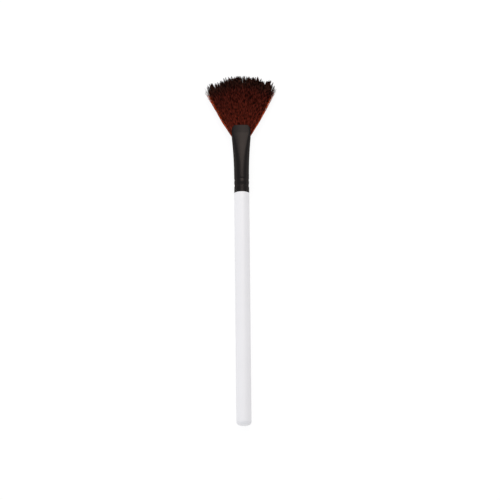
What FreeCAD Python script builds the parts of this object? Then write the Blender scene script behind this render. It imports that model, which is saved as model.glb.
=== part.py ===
import FreeCAD, Part
import functools
import math
import os
import Sketcher

# A fan makeup brush, lying on its side with the broad face of the fan up.
# Every piece is drawn in the brush's own frame: the origin is the centre of the ferrule's
# rear rim, +Y runs along the axis towards the hair, X is across the fan and Z is through it.
# A distance along the axis from that rim is called a station below.

doc = FreeCAD.newDocument("FanMakeupBrush")
Vector = FreeCAD.Vector


# Driving dimensions, in millimetres and degrees
sheet = doc.addObject("Spreadsheet::Sheet", "Sizes")
SIZES = {
    # Handle: a turned wooden rod with a tenon that the ferrule slides over
    "handle_length": 119.0,
    "handle_diameter": 7.5,
    "butt_dome_radius": 14.0,
    "butt_round": 1.8,
    "shoulder_bevel": 0.15,
    "tenon_beyond_round": 3.5,
    "tenon_nose_lead": 0.5,
    "tenon_nose_drop": 0.5,
    # Ferrule: a drawn tube, flattened towards its mouth
    "ferrule_length": 35.0,
    "ferrule_wall": 0.3,
    "ferrule_inset": 0.03,
    "lip_length": 4.0,
    "mouth_thickness": 2.945,
    "mouth_crown": 0.16,
    "lip_corner_round": 2.2,
    "notch_width": 1.7,
    "notch_depth": 6.15,
    # Crimp: two rolled grooves with a bevelled bead between them
    "rear_groove_station": 3.75,
    "groove_spacing": 2.9,
    "round_beyond_groove": 1.85,
    "groove_width": 1.7,
    "groove_floor": 0.5,
    "groove_depth": 0.25,
    "bead_bevel": 0.3,
    "bead_fall": 0.05,
    # Resin plug: the cast block that holds the roots of the hair
    "plug_setback": 0.5,
    # Hair: flat locks that spread from one point inside the ferrule
    "hair_reach": 26.0,
    "fan_half_angle": 29.9,
    "fan_lean": 0.8,
    "tip_arc_radius": 28.0,
    "corner_cut_back": 0.6,
    "tip_thickness": 1.8,
    "lock_ridge": 0.06,
    "lock_taper_length": 2.4,
    "tip_width_share": 0.3,
    "tip_depth_share": 0.4,
    "longest_cut_back": 1.5,
    # Clearances
    "tenon_gap": 0.03,
    "plug_gap": 0.04,
    "lock_gap": 0.03,
    "hair_side_gap": 0.06,
    "hair_face_gap": 0.09,
}
COUNTS = {"lock_columns": 27, "flattening_steps": 5, "side_facets": 20, "crown_facets": 4}

for row, (alias, value) in enumerate({**SIZES, **COUNTS}.items(), start=1):
    sheet.set(f"A{row}", alias.replace("_", " "))
    sheet.set(f"B{row}", str(value))
    sheet.setAlias(f"B{row}", alias)
doc.recompute()


@functools.cache
def size(expression):
    """The value of an expression in the sheet's names."""
    value = sheet.evalExpression(expression)
    return float(getattr(value, "Value", value))


# Expressions that several pieces share
def of_sheet(expression):
    """The same expression as another object reads it, each name led by the sheet's."""
    names = sorted({**SIZES, **COUNTS}, key=len, reverse=True)
    for index, name in enumerate(names):
        expression = expression.replace(name, f"<{index}>")
    for index, name in enumerate(names):
        expression = expression.replace(f"<{index}>", f"Sizes.{name}")
    return expression


HANDLE_RADIUS = "handle_diameter / 2"
FERRULE_RADIUS = f"({HANDLE_RADIUS} - ferrule_inset)"
BORE_RADIUS = f"({FERRULE_RADIUS} - ferrule_wall)"
TENON_RADIUS = f"({BORE_RADIUS} - tenon_gap)"
LIP_STATION = "(ferrule_length - lip_length)"
FRONT_GROOVE = "(rear_groove_station + groove_spacing)"
ROUND_END = f"({FRONT_GROOVE} + round_beyond_groove)"
TENON_END = f"({ROUND_END} + tenon_beyond_round)"
NOTCH_FLOOR = "(ferrule_length - notch_depth)"
PLUG_FRONT = f"({NOTCH_FLOOR} - plug_setback)"

# A tube keeps its girth when it is pressed flat: what its sides give up, its faces gain
MOUTH_SIDE = "(mouth_thickness / 2)"
SIDE_DROP = f"({FERRULE_RADIUS} - {MOUTH_SIDE})"
FLAT_HALF = f"({SIDE_DROP} * pi / 2)"
LIP_HALF = f"({FLAT_HALF} + sqrt({MOUTH_SIDE} ^ 2 - notch_width ^ 2 / 4))"


def place(body):
    """Lay a piece down: axis one radius above the surface, middle of the length at Y 0."""
    body.setExpression("Placement.Base.y", of_sheet(
        "(handle_length - ferrule_length - hair_reach) / 2"))
    body.setExpression("Placement.Base.z", of_sheet(HANDLE_RADIUS))


def new_body(label):
    body = doc.addObject("PartDesign::Body", label)
    body.Label = label
    place(body)
    return body


def new_sketch(body, name, role, station="0"):
    """A sketch on one of the body's planes, moved along the axis where it is a section."""
    sketch = body.newObject("Sketcher::SketchObject", name)
    plane = next(item for item in body.Origin.OriginFeatures if item.Role == role)
    sketch.AttachmentSupport = [(plane, "")]
    sketch.MapMode = "FlatFace"
    if station != "0":
        sketch.setExpression("AttachmentOffset.Base.z", of_sheet(f"-({station})"))
    doc.recompute()
    return sketch


def tie(sketch, expression, kind, *ends):
    """A dimension that follows an expression in the sheet's names."""
    index = sketch.addConstraint(Sketcher.Constraint(kind, *ends, size(expression)))
    sketch.setExpression(f"Constraints[{index}]", of_sheet(expression))


def draw_outline(sketch, corners):
    """A closed outline through corners given as expressions.

    Each corner is (across, along) for a straight side to the next one, or
    (across, along, radius, bulge) for an arc to it that bulges to the left (+1) or the
    right (-1) of the way there. A half circle is held by its centre, not its radius.
    """
    first_index = sketch.GeometryCount
    count = len(corners)
    points = [Vector(size(corner[0]), size(corner[1]), 0) for corner in corners]
    for index, corner in enumerate(corners):
        start = points[index]
        end = points[(index + 1) % count]
        if len(corner) == 2:
            sketch.addGeometry(Part.LineSegment(start, end), False)
            continue
        radius = size(corner[2])
        half = (end - start) * 0.5
        right = Vector(half.y, -half.x, 0).normalize() * corner[3]
        centre = start + half + right * math.sqrt(max(radius ** 2 - half.Length ** 2, 0.0))
        first, last = (start, end) if corner[3] < 0 else (end, start)
        angles = [math.atan2(point.y - centre.y, point.x - centre.x) for point in (first, last)]
        circle = Part.Circle(centre, Vector(0, 0, 1), radius)
        sketch.addGeometry(Part.ArcOfCircle(circle, *angles), False)

    # An arc runs anticlockwise, so its own start may be this outline's end
    starts = []
    for index in range(count):
        geometry = sketch.Geometry[first_index + index]
        forward = geometry.StartPoint.distanceToPoint(points[index]) < 1e-6
        starts.append(1 if forward else 2)
    for index, corner in enumerate(corners):
        here = first_index + index
        before = (index - 1) % count
        sketch.addConstraint(Sketcher.Constraint(
            "Coincident", first_index + before, 3 - starts[before], here, starts[index]))
        for kind, axis, expression in (("DistanceX", -2, corner[0]), ("DistanceY", -1, corner[1])):
            if expression == "0":
                sketch.addConstraint(
                    Sketcher.Constraint("PointOnObject", here, starts[index], axis))
            else:
                tie(sketch, expression, kind, -1, 1, here, starts[index])
        if len(corner) == 2:
            continue
        after = points[(index + 1) % count]
        if abs(size(corner[2]) - points[index].distanceToPoint(after) / 2) < 1e-6:
            tie(sketch, corner[0], "DistanceX", -1, 1, here, 3)
        else:
            tie(sketch, corner[2], "Radius", here)


def cut_through(body, name, sketch):
    """Cut a sketch's outline right through the body, both ways from its plane."""
    cut = body.newObject("PartDesign::Pocket", name)
    cut.Profile = sketch
    cut.Type = "ThroughAll"
    cut.SideType = "Symmetric"
    body.Tip = cut
    doc.recompute()
    return cut


def finish_body(body, feature):
    body.Tip = feature
    doc.recompute()
    return body


def groove(surface_radius, station, spread="0"):
    """A bevelled groove in a turned profile, rear end first."""
    return [
        (surface_radius, f"{station} - groove_width / 2 - {spread}"),
        (f"{surface_radius} - groove_depth", f"{station} - groove_floor / 2 - {spread}"),
        (f"{surface_radius} - groove_depth", f"{station} + groove_floor / 2 + {spread}"),
        (surface_radius, f"{station} + groove_width / 2 + {spread}"),
    ]


def turn(body, name, profile):
    turned = body.newObject("PartDesign::Revolution", name)
    turned.Profile = profile
    turned.ReferenceAxis = (profile, ["V_Axis"])
    turned.Angle = 360
    return finish_body(body, turned)


# Handle: a straight lacquered rod with a rounded butt and a grooved tenon
def make_handle():
    body = new_body("handle")
    profile = new_sketch(body, "HandleProfile", "XY_Plane")
    round_centre = f"({HANDLE_RADIUS} - butt_round)"
    dome_to_round = "(butt_dome_radius - butt_round)"
    rise = f"sqrt({dome_to_round} ^ 2 - {round_centre} ^ 2)"
    dome_share = f"(butt_dome_radius / {dome_to_round})"
    draw_outline(profile, [
        ("0", "-handle_length", "butt_dome_radius", -1),
        (f"{round_centre} * {dome_share}",
         f"butt_dome_radius - handle_length - {rise} * {dome_share}", "butt_round", -1),
        (HANDLE_RADIUS, f"butt_dome_radius - handle_length - {rise}"),
        (HANDLE_RADIUS, "-shoulder_bevel"),
        (f"{HANDLE_RADIUS} - shoulder_bevel", "0"),
        (TENON_RADIUS, "0"),
        *groove(TENON_RADIUS, "rear_groove_station", "tenon_gap"),
        *groove(TENON_RADIUS, FRONT_GROOVE, "tenon_gap"),
        (TENON_RADIUS, f"{ROUND_END} - tenon_nose_lead"),
        (f"{TENON_RADIUS} - tenon_nose_drop", TENON_END),
        ("0", TENON_END),
    ])
    return turn(body, "TurnedRod", profile)


# Pressed tube: its sections are rings of corners with the same directions at every
# station, so that each face between two rings is flat
def flattened_ring(station, share, inset):
    """One section of the pressed tube: rounded sides and slightly crowned faces.

    share is the part of the full flattening reached at this station, and inset is how
    far the section lies inside the tube's outer face.
    """
    side = size(FERRULE_RADIUS) - size(SIDE_DROP) * share - inset
    half = size(FLAT_HALF) * share
    crown = size("mouth_crown") * share
    side_facets, crown_facets = int(size("side_facets")), int(size("crown_facets"))
    right = [
        (half + side * math.cos(angle), side * math.sin(angle))
        for angle in (math.pi * (step / side_facets - 0.5) for step in range(side_facets + 1))]
    top = [
        (half * across, side + crown * (1 - across ** 2))
        for across in (1 - 2 * step / crown_facets for step in range(1, crown_facets))]
    half_ring = right + top
    ring = half_ring + [(-across, -level) for across, level in half_ring]
    return [Vector(across, station, level) for across, level in ring]


def flattened_rings(inset):
    """Rings from the round tube to the mouth, flattening with the square of the way."""
    start, lip, mouth = size(ROUND_END), size(LIP_STATION), size("ferrule_length")
    steps = int(size("flattening_steps"))
    first_share = 1 / (2 * steps) ** 2
    rings = []
    for step in range(steps + 1):
        way = step / steps
        rings.append(flattened_ring(
            start + (lip - start) * way, max(way ** 2, first_share), inset))
    rings.append(flattened_ring(mouth, 1.0, inset))
    return rings


def solid_through(rings):
    """A solid with flat faces through rings of matching corners."""
    faces = [Part.Face(Part.makePolygon(ring + ring[:1])) for ring in (rings[0], rings[-1])]
    for rear, front in zip(rings, rings[1:]):
        for index in range(len(rear)):
            after = (index + 1) % len(rear)
            corners = [rear[index], rear[after], front[after], front[index]]
            faces.append(Part.Face(Part.makePolygon(corners + corners[:1])))
    solid = Part.Solid(Part.Shell(faces))
    if solid.Volume < 0:
        solid.reverse()
    return solid


def add_feature(name, shape):
    feature = doc.addObject("Part::Feature", name)
    feature.Shape = shape
    return feature


def build_on(label, base):
    """A body that starts from a shape made before it."""
    body = new_body(label)
    body.BaseFeature = base
    doc.recompute()
    return body


# Ferrule: a round crimped tube that is pressed flat towards a slotted mouth
def make_round_tube():
    body = doc.addObject("PartDesign::Body", "RoundTube")
    profile = new_sketch(body, "TubeProfile", "XY_Plane")
    bead_foot = f"{FERRULE_RADIUS} - bead_fall"
    draw_outline(profile, [
        (BORE_RADIUS, "0"),
        *groove(BORE_RADIUS, "rear_groove_station"),
        *groove(BORE_RADIUS, FRONT_GROOVE),
        (BORE_RADIUS, ROUND_END),
        (FERRULE_RADIUS, ROUND_END),
        *groove(FERRULE_RADIUS, FRONT_GROOVE)[:0:-1],
        (bead_foot, f"{FRONT_GROOVE} - groove_width / 2"),
        (FERRULE_RADIUS, f"{FRONT_GROOVE} - groove_width / 2 - bead_bevel"),
        (FERRULE_RADIUS, "rear_groove_station + groove_width / 2 + bead_bevel"),
        (bead_foot, "rear_groove_station + groove_width / 2"),
        *groove(FERRULE_RADIUS, "rear_groove_station")[2::-1],
        (FERRULE_RADIUS, "0"),
    ])
    return turn(body, "TurnedTube", profile)


def make_ferrule():
    pressed = doc.addObject("Part::Cut", "PressedTube")
    pressed.Base = add_feature("PressedOutside", solid_through(flattened_rings(0.0)))
    pressed.Tool = add_feature(
        "PressedBore", solid_through(flattened_rings(size("ferrule_wall"))))
    blank = doc.addObject("Part::Fuse", "FerruleBlank")
    blank.Base = make_round_tube()
    blank.Tool = pressed
    doc.recompute()
    body = build_on("ferrule", blank)

    # A round-bottomed slot opens both sides, so that the hair can spread
    slot = new_sketch(body, "NotchProfile", "YZ_Plane")
    slot_end = "ferrule_length + lip_length"
    slot_floor = f"({NOTCH_FLOOR} + notch_width / 2)"
    draw_outline(slot, [
        (slot_end, "-notch_width / 2"),
        (slot_floor, "-notch_width / 2", "notch_width / 2", 1),
        (slot_floor, "notch_width / 2"),
        (slot_end, "notch_width / 2"),
    ])
    cut_through(body, "Notches", slot)

    # Each lip is a tongue with rounded corners
    corners = new_sketch(body, "LipCorners", "XY_Plane")
    inner_edge = f"({LIP_HALF} - lip_corner_round)"
    lower_edge = "(ferrule_length - lip_corner_round)"
    draw_outline(corners, [
        (inner_edge, "ferrule_length", "lip_corner_round", 1),
        (LIP_HALF, lower_edge),
        ("handle_diameter", lower_edge),
        ("handle_diameter", slot_end),
        (inner_edge, slot_end),
    ])
    draw_outline(corners, [
        (f"-{inner_edge}", "ferrule_length", "lip_corner_round", -1),
        (f"-{LIP_HALF}", lower_edge),
        ("-handle_diameter", lower_edge),
        ("-handle_diameter", slot_end),
        (f"-{inner_edge}", slot_end),
    ])
    return finish_body(body, cut_through(body, "LipRounds", corners))


# Resin plug: cast between the tenon and the mouth, just clear of the bore
def make_resin_plug():
    cast = doc.addObject("Part::Common", "PlugCast")
    cast.Base = add_feature(
        "PlugBore", solid_through(flattened_rings(size("ferrule_wall + plug_gap"))))
    length = doc.addObject("Part::Box", "PlugLength")
    length.setExpression("Length", of_sheet("2 * handle_diameter"))
    length.setExpression("Width", of_sheet(f"{PLUG_FRONT} - {TENON_END}"))
    length.setExpression("Height", of_sheet("2 * handle_diameter"))
    length.setExpression("Placement.Base.x", of_sheet("-handle_diameter"))
    length.setExpression("Placement.Base.y", of_sheet(TENON_END))
    length.setExpression("Placement.Base.z", of_sheet("-handle_diameter"))
    cast.Tool = length
    doc.recompute()
    return build_on("resin_plug", cast)


# Hair: three staggered layers of flat locks, thick in the middle and thin at the sides
FLATTENED_AT_NOTCH = f"((({NOTCH_FLOOR} - {ROUND_END}) / ({LIP_STATION} - {ROUND_END})) ^ 2)"
NOTCH_BORE_SIDE = f"({BORE_RADIUS} - {SIDE_DROP} * {FLATTENED_AT_NOTCH})"
NOTCH_BORE_HALF = f"({NOTCH_BORE_SIDE} + {FLAT_HALF} * {FLATTENED_AT_NOTCH})"
WIDEST_ANGLE = "(fan_half_angle + fan_lean)"


def fan_centre():
    """Station where the hair's lines meet: the outer ones just clear the notch's floor."""
    half_width = size(f"{NOTCH_BORE_HALF} - hair_side_gap")
    return size(NOTCH_FLOOR) - half_width / math.tan(math.radians(size(WIDEST_ANGLE)))


def root_half_thickness(angle):
    """Half the thickness of the hair on the resin, at an angle from the fan's middle.

    The hair fills the mouth between the lips' straight edges. At its sides it is as thin
    as the bore's rounded side leaves room for, where the outer hairs pass the notch's floor.
    """
    to_lip = size("ferrule_length") - fan_centre()
    thick = math.atan(size(f"{LIP_HALF} - lip_corner_round") / to_lip)
    thin = math.atan(size(LIP_HALF) / (to_lip - size("lip_corner_round")))
    way = min(max((math.radians(abs(angle)) - thick) / (thin - thick), 0.0), 1.0)
    ease = way * way * (3 - 2 * way)
    middle = size(f"{MOUTH_SIDE} - ferrule_wall - hair_face_gap")
    side = size(f"sqrt({NOTCH_BORE_SIDE} ^ 2 - ({NOTCH_BORE_SIDE} - hair_side_gap) ^ 2)")
    return middle + (side - size("hair_face_gap") - middle) * ease


def make_lock(layer, angle, pitch, tip_reach):
    """One lock of hair: layer is -1 for the back, 0 for the middle and 1 for the front."""
    centre_station = fan_centre()
    root_distance = size(PLUG_FRONT) - centre_station
    full_reach = size("ferrule_length + hair_reach") - centre_station
    half_gap = size("lock_gap") / 2
    spread = math.tan(math.radians(pitch / 2)) - half_gap / root_distance
    turn_angle = math.radians(angle - size("fan_lean"))
    root_reach = root_distance / math.cos(turn_angle)

    # Height above the middle of the fan, at the root and at the full reach
    beside = [root_half_thickness(angle + side * pitch / 2) for side in (-1, 1)]
    tip_half = size("tip_thickness / 2")
    if layer == 0:
        upper = (min(beside) / 3 - half_gap, tip_half / 3 - half_gap)
        lower = (-upper[0], -upper[1])
        crest_slope = 0.0
    else:
        lower = (max(beside) / 3 + half_gap, tip_half / 3 + half_gap)
        upper = (min(beside), tip_half)
        crest_slope = size("lock_ridge") / (full_reach * spread)

    def level(ends, reach):
        return ends[0] + (ends[1] - ends[0]) * (reach - root_reach) / (full_reach - root_reach)

    def ring(reach=None, width_share=1.0, depth_share=1.0):
        corners = []
        half = spread * width_share
        for across, side in ((-half, -1), (half, -1), (half, 1), (0.0, 1), (-half, 1)):
            if layer == 0 and across == 0.0:
                continue
            direction = Vector(
                math.sin(turn_angle) + across * math.cos(turn_angle),
                math.cos(turn_angle) - across * math.sin(turn_angle), 0)
            along = root_distance / direction.y if reach is None else reach
            bottom, top = level(lower, along), level(upper, along)
            edge_top = top - crest_slope * spread * along
            middle = (bottom + edge_top) / 2
            height = middle + side * (edge_top - bottom) / 2 * depth_share
            if side == 1:
                height += crest_slope * (half - abs(across)) * along
            corner = direction * along + Vector(0, centre_station, height * (layer or 1))
            corners.append(corner)
        return corners

    shoulder = tip_reach - size("lock_taper_length")
    return solid_through([
        ring(), ring(shoulder),
        ring(tip_reach, size("tip_width_share"), size("tip_depth_share"))])


# How closely the shortening of the fan's corners keeps to its sides
CORNER_SHARPNESS = 14


def make_bristles():
    full_reach = size("ferrule_length + hair_reach") - fan_centre()
    arc_radius = size("tip_arc_radius")
    arc_offset = full_reach - arc_radius
    columns = int(size("lock_columns"))
    pitch = 2 * size("fan_half_angle") / columns
    golden = (math.sqrt(5) - 1) / 2
    locks = []
    for layer in (-1, 0, 1):
        layer_columns = columns - abs(layer)
        for column in range(layer_columns):
            order = column - (layer_columns - 1) / 2
            angle = math.radians(order * pitch)
            to_arc = arc_offset * math.cos(angle) + math.sqrt(
                arc_radius ** 2 - (arc_offset * math.sin(angle)) ** 2)
            cut_back = size("longest_cut_back") * ((order + layer * columns) * golden % 1.0) ** 2
            to_side = 2 * abs(order) / columns
            cut_back += size("corner_cut_back") * to_side ** CORNER_SHARPNESS
            locks.append(make_lock(layer, order * pitch, pitch, to_arc - cut_back))
    hair = add_feature("bristles", Part.makeCompound(locks))
    hair.Label = "bristles"
    place(hair)
    return hair


pieces = [make_handle(), make_ferrule(), make_resin_plug(), make_bristles()]
doc.recompute()

for item in doc.Objects:
    if "Invalid" in item.State or "Error" in item.State:
        raise RuntimeError(f"{item.Label} failed to rebuild: {item.getStatusString()}")
for piece in pieces:
    if piece.Shape.isNull() or not piece.Shape.isValid() or not piece.Shape.Solids:
        raise RuntimeError(f"{piece.Label} is not a sound solid")

os.makedirs("parts", exist_ok=True)
for piece in pieces:
    piece.Shape.exportStep(f"parts/{piece.Label}.step")
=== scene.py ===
import math

import bmesh
import bpy
import numpy as np
from bpy.props import FloatProperty, IntProperty, PointerProperty, StringProperty
from bpy.types import Operator, Panel, PropertyGroup
from mathutils import Matrix, Vector


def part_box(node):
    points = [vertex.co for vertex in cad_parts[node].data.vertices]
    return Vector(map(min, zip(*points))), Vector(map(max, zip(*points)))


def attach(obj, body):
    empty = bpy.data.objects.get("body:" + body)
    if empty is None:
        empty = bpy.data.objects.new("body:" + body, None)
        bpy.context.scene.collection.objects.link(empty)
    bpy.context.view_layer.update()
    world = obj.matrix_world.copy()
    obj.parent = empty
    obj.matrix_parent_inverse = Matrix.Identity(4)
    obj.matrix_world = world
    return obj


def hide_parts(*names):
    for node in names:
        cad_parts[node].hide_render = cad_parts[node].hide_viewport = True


# A fan makeup brush, lying on its side with the broad face of the fan up: +Y runs along the
# axis towards the hair, X is across the fan and +Z is up. A station is a distance along the
# axis from the ferrule's rear rim, towards the hair.

bl_info = {
    "name": "Fan makeup brush",
    "version": (1, 0, 0),
    "blender": (4, 5, 0),
    "location": "3D View > Sidebar > Fan Brush",
    "description": "Builds a lacquered fan makeup brush with a black ferrule and fine dark hair",
    "category": "Add Mesh",
}

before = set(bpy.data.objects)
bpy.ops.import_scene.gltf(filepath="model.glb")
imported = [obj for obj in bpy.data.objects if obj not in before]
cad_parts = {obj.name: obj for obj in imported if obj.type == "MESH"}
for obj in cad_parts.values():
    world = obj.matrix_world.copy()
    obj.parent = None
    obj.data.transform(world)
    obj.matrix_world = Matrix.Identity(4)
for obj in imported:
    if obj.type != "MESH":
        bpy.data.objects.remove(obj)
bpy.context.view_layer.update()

MM = 0.001
HANDLE_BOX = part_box("handle")
FERRULE_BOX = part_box("ferrule")
HAIR_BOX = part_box("bristles")
REAR_RIM = FERRULE_BOX[0].y
AXIS_HEIGHT = (FERRULE_BOX[0].z + FERRULE_BOX[1].z) / 2


def length(name, description, default, **limits):
    """A size in metres that is shown as a length."""
    return FloatProperty(name=name, description=description, default=default,
                         unit="LENGTH", subtype="DISTANCE", precision=5, **limits)


def angle(name, description, degrees):
    """An angle, given in degrees and kept in radians, that is shown as an angle."""
    return FloatProperty(name=name, description=description, default=math.radians(degrees),
                         unit="ROTATION", subtype="ANGLE")


def hexadecimal(name, description, default):
    """A colour as an sRGB hex value, such as #2B2929."""
    return StringProperty(name=name, description=description, default=default, maxlen=7)


class HandleSizes(PropertyGroup):
    """Sizes of the turned handle."""

    diameter: length("Diameter", "Thickness of the straight rod", 7.5 * MM)
    visible_length: length("Visible length", "From the butt to the ferrule",
                           REAR_RIM - HANDLE_BOX[0].y)
    butt_dome_radius: length("Butt dome radius", "Radius of the dome at the butt", 14 * MM)
    butt_round: length("Butt round", "Radius between the dome and the rod", 1.8 * MM)
    shoulder_bevel: length("Shoulder bevel", "Bevel where the rod meets the ferrule", 0.15 * MM)
    tenon_radius: length("Tenon radius", "Radius of the tenon inside the ferrule", 3.39 * MM)
    tenon_nose_drop: length("Tenon nose drop", "How far the tenon's nose tapers in", 0.5 * MM)
    segments: IntProperty(name="Segments", description="Sides round the rod", default=128, min=16)


class FerruleSizes(PropertyGroup):
    """Sizes of the crimped and pressed tube."""

    radius: length("Radius", "Outer radius of the round part",
                   (FERRULE_BOX[1].z - FERRULE_BOX[0].z) / 2)
    wall: length("Wall", "Thickness of the drawn tube", 0.3 * MM)
    length: length("Length", "From the rear rim to the lips", FERRULE_BOX[1].y - REAR_RIM)
    round_end: length("Round end", "Station where the tube starts to flatten", 8.5 * MM)
    lip_length: length("Lip length", "Straight part at the mouth", 4 * MM)
    mouth_thickness: length("Mouth thickness", "Height of the pressed mouth's sides", 2.945 * MM)
    crown: length("Crown", "Rise of each pressed face in the middle", 0.35 * MM)
    notch_width: length("Notch width", "Width of the slot in each side", 1.7 * MM)
    notch_depth: length("Notch depth", "Length of the slot from the lips", 6.15 * MM)
    corner_width: length("Corner width", "Width of the lips' rounded corners", 2.0 * MM)
    corner_length: length("Corner length", "Length of the lips' rounded corners", 3.0 * MM)
    crimp_start: length("Crimp start", "Station where the tube starts to fall", 3.0 * MM)
    rear_groove: length("Rear groove", "Station of the rear crimp groove", 3.55 * MM)
    bead: length("Bead", "Station of the crest between the grooves", 5.5 * MM)
    front_groove: length("Front groove", "Station of the front crimp groove", 6.95 * MM)
    crimp_end: length("Crimp end", "Station where the tube has its full width again", 7.5 * MM)
    rear_depth: length("Rear depth", "Depth of the rear crimp groove", 0.2 * MM)
    front_depth: length("Front depth", "Depth of the front crimp groove", 0.15 * MM)


class FanSizes(PropertyGroup):
    """Sizes and counts of the fan of hair."""

    centre: length("Centre", "Station where the hair's lines meet", 21.42 * MM)
    root: length("Root", "Station of the resin that holds the roots", 28.35 * MM)
    reach: length("Reach", "Station of the longest tips", HAIR_BOX[1].y - REAR_RIM)
    half_angle: angle("Half angle", "Half the fan's opening", 29.7)
    lean: angle("Lean", "How far the fan leans to -X", 0.8)
    tip_arc_radius: length("Tip arc radius", "Radius of the arc of the tips", 28 * MM)
    bow: FloatProperty(name="Bow", description="How much wider the fan stands above its mouth",
                       default=0.04)
    root_half: length("Root half thickness", "Half the fan's thickness at the resin", 1.08 * MM)
    tip_half: length("Tip half thickness", "Half the fan's thickness at the tips", 0.9 * MM)
    hair_diameter: length("Hair diameter", "Thickness of one hair", 0.1 * MM)
    clump_width: length("Clump width", "Width of the tufts that the tips gather in", 0.5 * MM)
    hairs: IntProperty(name="Hairs", description="Hairs in each of three layers",
                       default=2000, min=50)
    stray_hairs: IntProperty(name="Stray hairs", description="Loose hairs at both edges",
                             default=60, min=0)
    seed: IntProperty(name="Seed", description="Number that sets every random draw", default=7)


class Finishes(PropertyGroup):
    """Colours of the real materials, and of the hair's painted sheen and painted glow."""

    lacquer: hexadecimal("Lacquer", "White lacquer on the handle", "#EDEDEE")
    anodised: hexadecimal("Anodised", "Black dye in the ferrule's oxide", "#343130")
    resin: hexadecimal("Resin", "Cast epoxy", "#B08A4A")
    hair_tip: hexadecimal("Hair tip", "Dyed ends of the hair", "#2C1109")
    hair_middle: hexadecimal("Hair middle", "Hair below the dyed ends", "#481208")
    hair_root: hexadecimal("Hair root", "Hair near the ferrule", "#601D0E")
    # Painted sheen: a pale colour mixed into the lightest hairs, standing in for their dull gleam
    hair_painted_sheen: hexadecimal("Hair sheen", "Dull gleam of the lightest hairs", "#A08074")
    # Painted glow: the orange of light shining through thin loose hair, put into the hair's
    # colour
    hair_edge_glow: hexadecimal("Hair edge", "Thin hair that light shines through", "#DC5820")


GROUPS = {
    "fan_brush_handle": HandleSizes,
    "fan_brush_ferrule": FerruleSizes,
    "fan_brush_fan": FanSizes,
    "fan_brush_finishes": Finishes,
}


def linear(hex_colour):
    """An sRGB hex colour as linear red, green, blue and alpha."""
    channels = [int(hex_colour[start:start + 2], 16) / 255 for start in (1, 3, 5)]
    return [value / 12.92 if value <= 0.04045 else ((value + 0.055) / 1.055) ** 2.4
            for value in channels] + [1.0]


def add_node(tree, kind, links=None, **settings):
    """A node with its settings; links maps its input names to values or to other sockets."""
    node = tree.nodes.new(kind)
    for name, value in settings.items():
        setattr(node, name, value)
    for name, value in (links or {}).items():
        socket = node.inputs[name]
        if isinstance(value, bpy.types.NodeSocket):
            tree.links.new(value, socket)
        else:
            socket.default_value = value
    return node


def new_material(name):
    """An empty node material and its tree."""
    material = bpy.data.materials.new(name)
    material.use_nodes = True
    material.node_tree.nodes.clear()
    return material, material.node_tree


def finish_surface(tree, shader):
    """Send the finished shader to the material's output."""
    add_node(tree, "ShaderNodeOutputMaterial", {"Surface": shader.outputs[0]})


def colour_stops(node, stops):
    """Set a colour ramp's stops from (position, colour) pairs."""
    ramp = node.color_ramp
    while len(ramp.elements) < len(stops):
        ramp.elements.new(1.0)
    for element, (position, colour) in zip(ramp.elements, stops):
        element.position = position
        element.color = colour
    return node


def millimetre_noise(tree, size_mm, **links):
    """Noise whose features are about this size in the object's own space."""
    place = add_node(tree, "ShaderNodeTexCoord")
    links = {"Vector": place.outputs["Object"], "Scale": 1 / (size_mm * MM), **links}
    return add_node(tree, "ShaderNodeTexNoise", links)


def white_lacquer():
    """Sprayed white lacquer on turned beech: smooth, softly glossy, with faint orange peel."""
    material, tree = new_material("White lacquer on beech")
    colour = linear(bpy.context.scene.fan_brush_finishes.lacquer)
    # Orange peel of a sprayed coat, 1 to 2 mm from crest to crest
    peel = millimetre_noise(tree, 1.6, Detail=1.0)
    bump = add_node(tree, "ShaderNodeBump", {
        "Height": peel.outputs["Fac"], "Strength": 0.12, "Distance": 0.02 * MM})
    # Faint clouds, over a centimetre wide, where the coat is a little thinner
    clouding = millimetre_noise(tree, 14, Detail=2.0)
    tint = colour_stops(
        add_node(tree, "ShaderNodeValToRGB", {"Fac": clouding.outputs["Fac"]}),
        [(0.35, [channel * 0.985 for channel in colour[:3]] + [1.0]), (0.65, colour)])
    shader = add_node(tree, "ShaderNodeBsdfPrincipled", {
        "Base Color": tint.outputs["Color"], "Roughness": 0.32, "IOR": 1.5,
        "Coat Weight": 0.12, "Coat Roughness": 0.15, "Normal": bump.outputs["Normal"]})
    finish_surface(tree, shader)
    return material


def black_anodised():
    """Aluminium blasted fine and anodised black: a satin sheen that spreads each light."""
    material, tree = new_material("Black anodised aluminium")
    # Grit of the blasting, about a tenth of a millimetre
    grain = millimetre_noise(tree, 0.12, Detail=2.0)
    bump = add_node(tree, "ShaderNodeBump", {
        "Height": grain.outputs["Fac"], "Strength": 0.1, "Distance": 0.01 * MM})
    # Patches of a few millimetres that handling has polished
    handling = millimetre_noise(tree, 5, Detail=3.0)
    gloss = add_node(tree, "ShaderNodeMapRange", {
        "Value": handling.outputs["Fac"], "To Min": 0.35, "To Max": 0.42})
    shader = add_node(tree, "ShaderNodeBsdfPrincipled", {
        "Base Color": linear(bpy.context.scene.fan_brush_finishes.anodised), "Metallic": 1.0,
        "Specular Tint": linear("#B4B2B0"),
        "Roughness": gloss.outputs["Result"], "Normal": bump.outputs["Normal"]})
    finish_surface(tree, shader)
    return material


def cast_resin():
    """Cast epoxy: amber, glossy where it set in the air, with faint swirls of filler."""
    material, tree = new_material("Cast epoxy resin")
    colour = linear(bpy.context.scene.fan_brush_finishes.resin)
    # Swirls of filler, 2 to 3 mm wide
    swirl = millimetre_noise(tree, 2.5, Detail=3.0, Distortion=1.2)
    tint = colour_stops(
        add_node(tree, "ShaderNodeValToRGB", {"Fac": swirl.outputs["Fac"]}),
        [(0.3, [channel * 0.7 for channel in colour[:3]] + [1.0]), (0.7, colour)])
    shader = add_node(tree, "ShaderNodeBsdfPrincipled", {
        "Base Color": tint.outputs["Color"], "Roughness": 0.3, "IOR": 1.55})
    finish_surface(tree, shader)
    return material
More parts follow.
